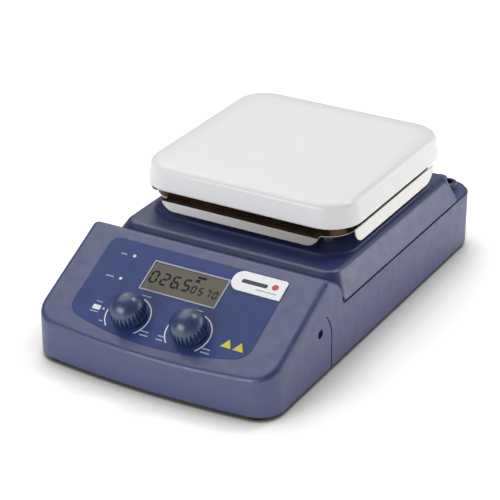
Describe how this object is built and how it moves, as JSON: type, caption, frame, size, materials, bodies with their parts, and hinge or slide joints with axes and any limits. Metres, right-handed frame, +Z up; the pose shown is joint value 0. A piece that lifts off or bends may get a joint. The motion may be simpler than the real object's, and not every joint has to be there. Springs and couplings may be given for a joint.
{
  "type": "hotplate magnetic stirrer",
  "caption": "Bench hotplate stirrer: low wedge housing with a sloped knob-and-display console and a raised square white hot plate.",
  "frame": {"origin": "centre of the housing's footprint (204 by 352 mm) on the table, level with the underside of the feet", "axes": "+X to the user's right, -Y towards the user (console side), +Z up"},
  "size_m": [0.204, 0.352, 0.112],
  "materials": {
    "body_paint": "satin",
    "console_plastic": "satin",
    "plate_enamel": "gloss",
    "cast_aluminium": "satin",
    "dark_steel": "satin",
    "bright_steel": "polished",
    "plain_steel": "satin",
    "plated_metal": "polished",
    "element_sheath": "matte",
    "insulation_wool": "matte",
    "overlay_film": "satin",
    "bezel_silver": "satin",
    "display_grey": "satin",
    "led_white": "gloss",
    "badge_white": "satin",
    "knob_blue": "gloss",
    "black_plastic": "satin",
    "rocker_black": "gloss",
    "board_green": "satin",
    "copper_bronze": "satin",
    "black_rubber": "matte",
    "fuse_glass": "gloss"
  },
  "bodies": {
    "housing": {"lower_housing": "body_paint", "front_console": "console_plastic", "top_housing": "body_paint", "hot_plate": "plate_enamel", "heater_block": "cast_aluminium", "heating_element": "element_sheath", "insulation_pad": "insulation_wool", "heater_pan": "dark_steel", "heat_shield": "bright_steel", "side_guards": "bright_steel", "plate_posts": "plain_steel", "post_nuts": "plain_steel", "plate_sensor": "plain_steel", "magnet_window": "bright_steel", "control_overlay": "overlay_film", "display_bezel": "bezel_silver", "display_module": "display_grey", "led_lenses": "led_white", "badge": "badge_white", "control_pots": "black_plastic", "pot_nuts": "plain_steel", "display_board": "board_green", "display_board_screws": "plain_steel", "console_side_screws": "plain_steel", "console_base_screws": "plain_steel", "motor_base": "plain_steel", "motor_can": "dark_steel", "motor_bearings": "copper_bronze", "motor_stator": "dark_steel", "motor_windings": "copper_bronze", "motor_grommets": "black_rubber", "motor_screws": "plain_steel", "main_board": "board_green", "board_screws": "plain_steel", "transformer": "dark_steel", "heatsink": "cast_aluminium", "board_parts": "black_plastic", "power_inlet": "black_plastic", "inlet_pins": "plated_metal", "switch_frame": "black_plastic", "serial_port": "plated_metal", "sensor_socket": "plated_metal", "rod_socket": "plated_metal", "housing_screws": "plain_steel", "rubber_feet": "black_rubber", "foot_screws": "plain_steel"},
    "rotor": {"motor_rotor": "dark_steel", "motor_shaft": "plain_steel", "magnet_holder": "cast_aluminium", "magnets": "plated_metal"},
    "heat_control": {"heat_knob": "knob_blue", "heat_knob_shaft": "plain_steel"},
    "stir_control": {"stir_knob": "knob_blue", "stir_knob_shaft": "plain_steel"},
    "rocker": {"power_rocker": "rocker_black"},
    "fuse_tray": {"fuse_drawer": "black_plastic", "fuses": "fuse_glass"}
  },
  "joints": [
    {"name": "motor_spin", "type": "hinge", "parent": "housing", "child": "rotor", "pos_m": [0, 0.05, 0.045], "axis": [0, 0, 1], "continuous": true},
    {"name": "heat_turn", "type": "hinge", "parent": "housing", "child": "heat_control", "pos_m": [-0.0269, -0.1503, 0.04435], "axis": [0, -0.4493, 0.8934], "range_deg": [-135, 135]},
    {"name": "stir_turn", "type": "hinge", "parent": "housing", "child": "stir_control", "pos_m": [0.0246, -0.1503, 0.04435], "axis": [0, -0.4493, 0.8934], "range_deg": [-135, 135]},
    {"name": "rocker_tilt", "type": "hinge", "parent": "housing", "child": "rocker", "pos_m": [-0.012, 0.1615, 0.027], "axis": [1, 0, 0], "range_deg": [-16, 0]},
    {"name": "fuse_slide", "type": "slide", "parent": "housing", "child": "fuse_tray", "axis": [0, 1, 0], "range_m": [0, 0.02]}
  ]
}
